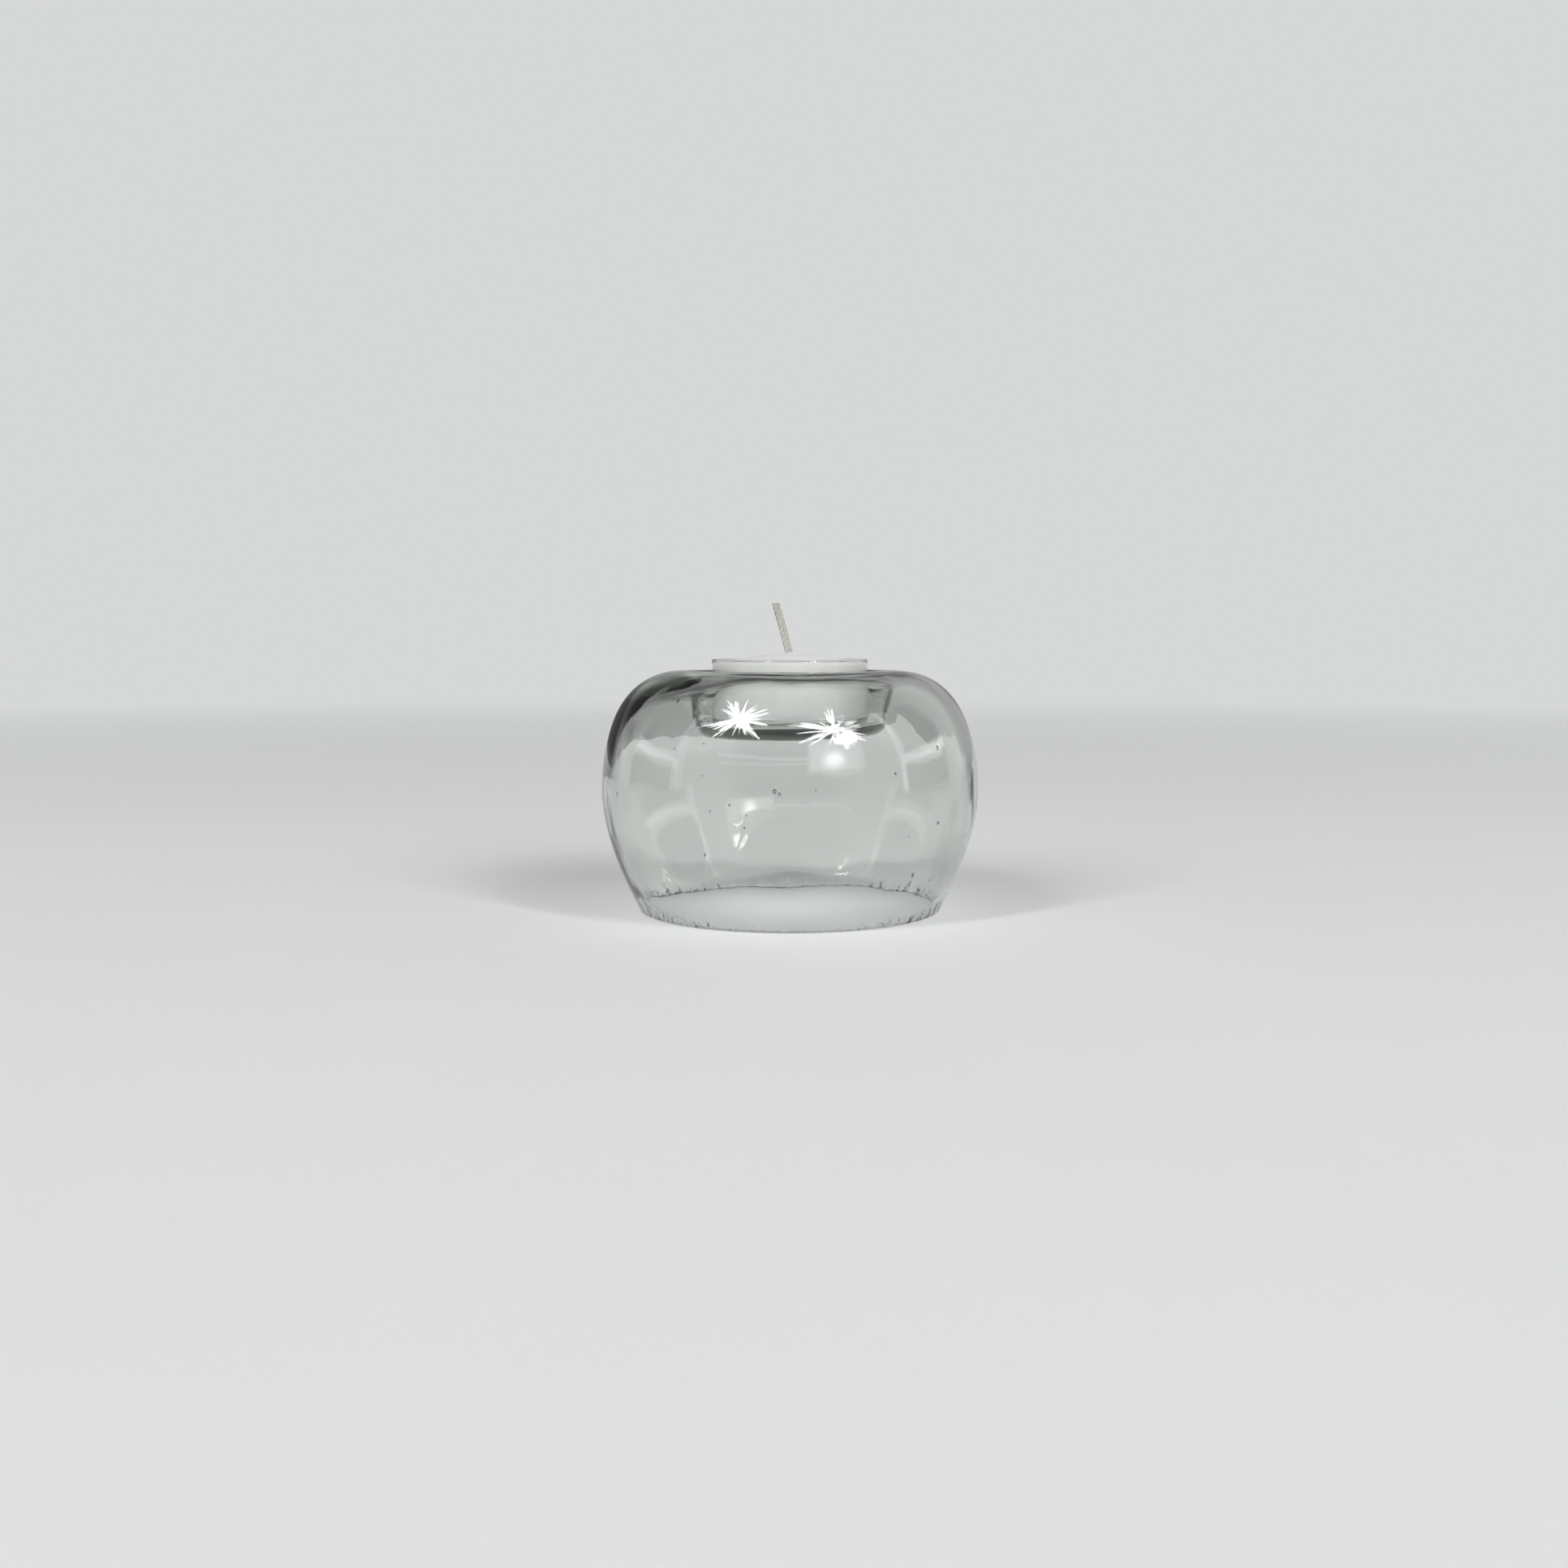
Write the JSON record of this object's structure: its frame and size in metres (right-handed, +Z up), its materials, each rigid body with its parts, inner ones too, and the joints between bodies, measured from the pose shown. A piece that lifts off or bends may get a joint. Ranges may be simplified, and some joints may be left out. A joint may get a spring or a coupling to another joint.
{
  "type": "tealight holder",
  "caption": "Round blown-glass candle holder: an upturned bowl with a pressed-in well that holds a removable tealight.",
  "frame": {"origin": "centre of the plane the foot rim stands on", "axes": "+Z up along the bowl's axis, through the middle of the well; the wick leans towards -X; -Y faces the front"},
  "size_m": [0.0922, 0.0922, 0.075],
  "materials": {
    "holder_glass": "clear with a faint grey-green tint, fire-polished, a few seeds",
    "clear_plastic": "thin clear moulding",
    "candle_wax": "white paraffin, satin",
    "tinplate": "stamped sheet",
    "wick_cotton": "waxed braided cotton"
  },
  "bodies": {
    "holder": {"glass_holder": "holder_glass"},
    "tealight": {"candle_cup": "clear_plastic", "wax": "candle_wax", "wick_sustainer": "tinplate", "wick": "wick_cotton"}
  },
  "joints": [
    {"name": "tealight_lift", "type": "slide", "parent": "holder", "child": "tealight", "axis": [0, 0, 1], "range_m": [0, 0.03]}
  ]
}
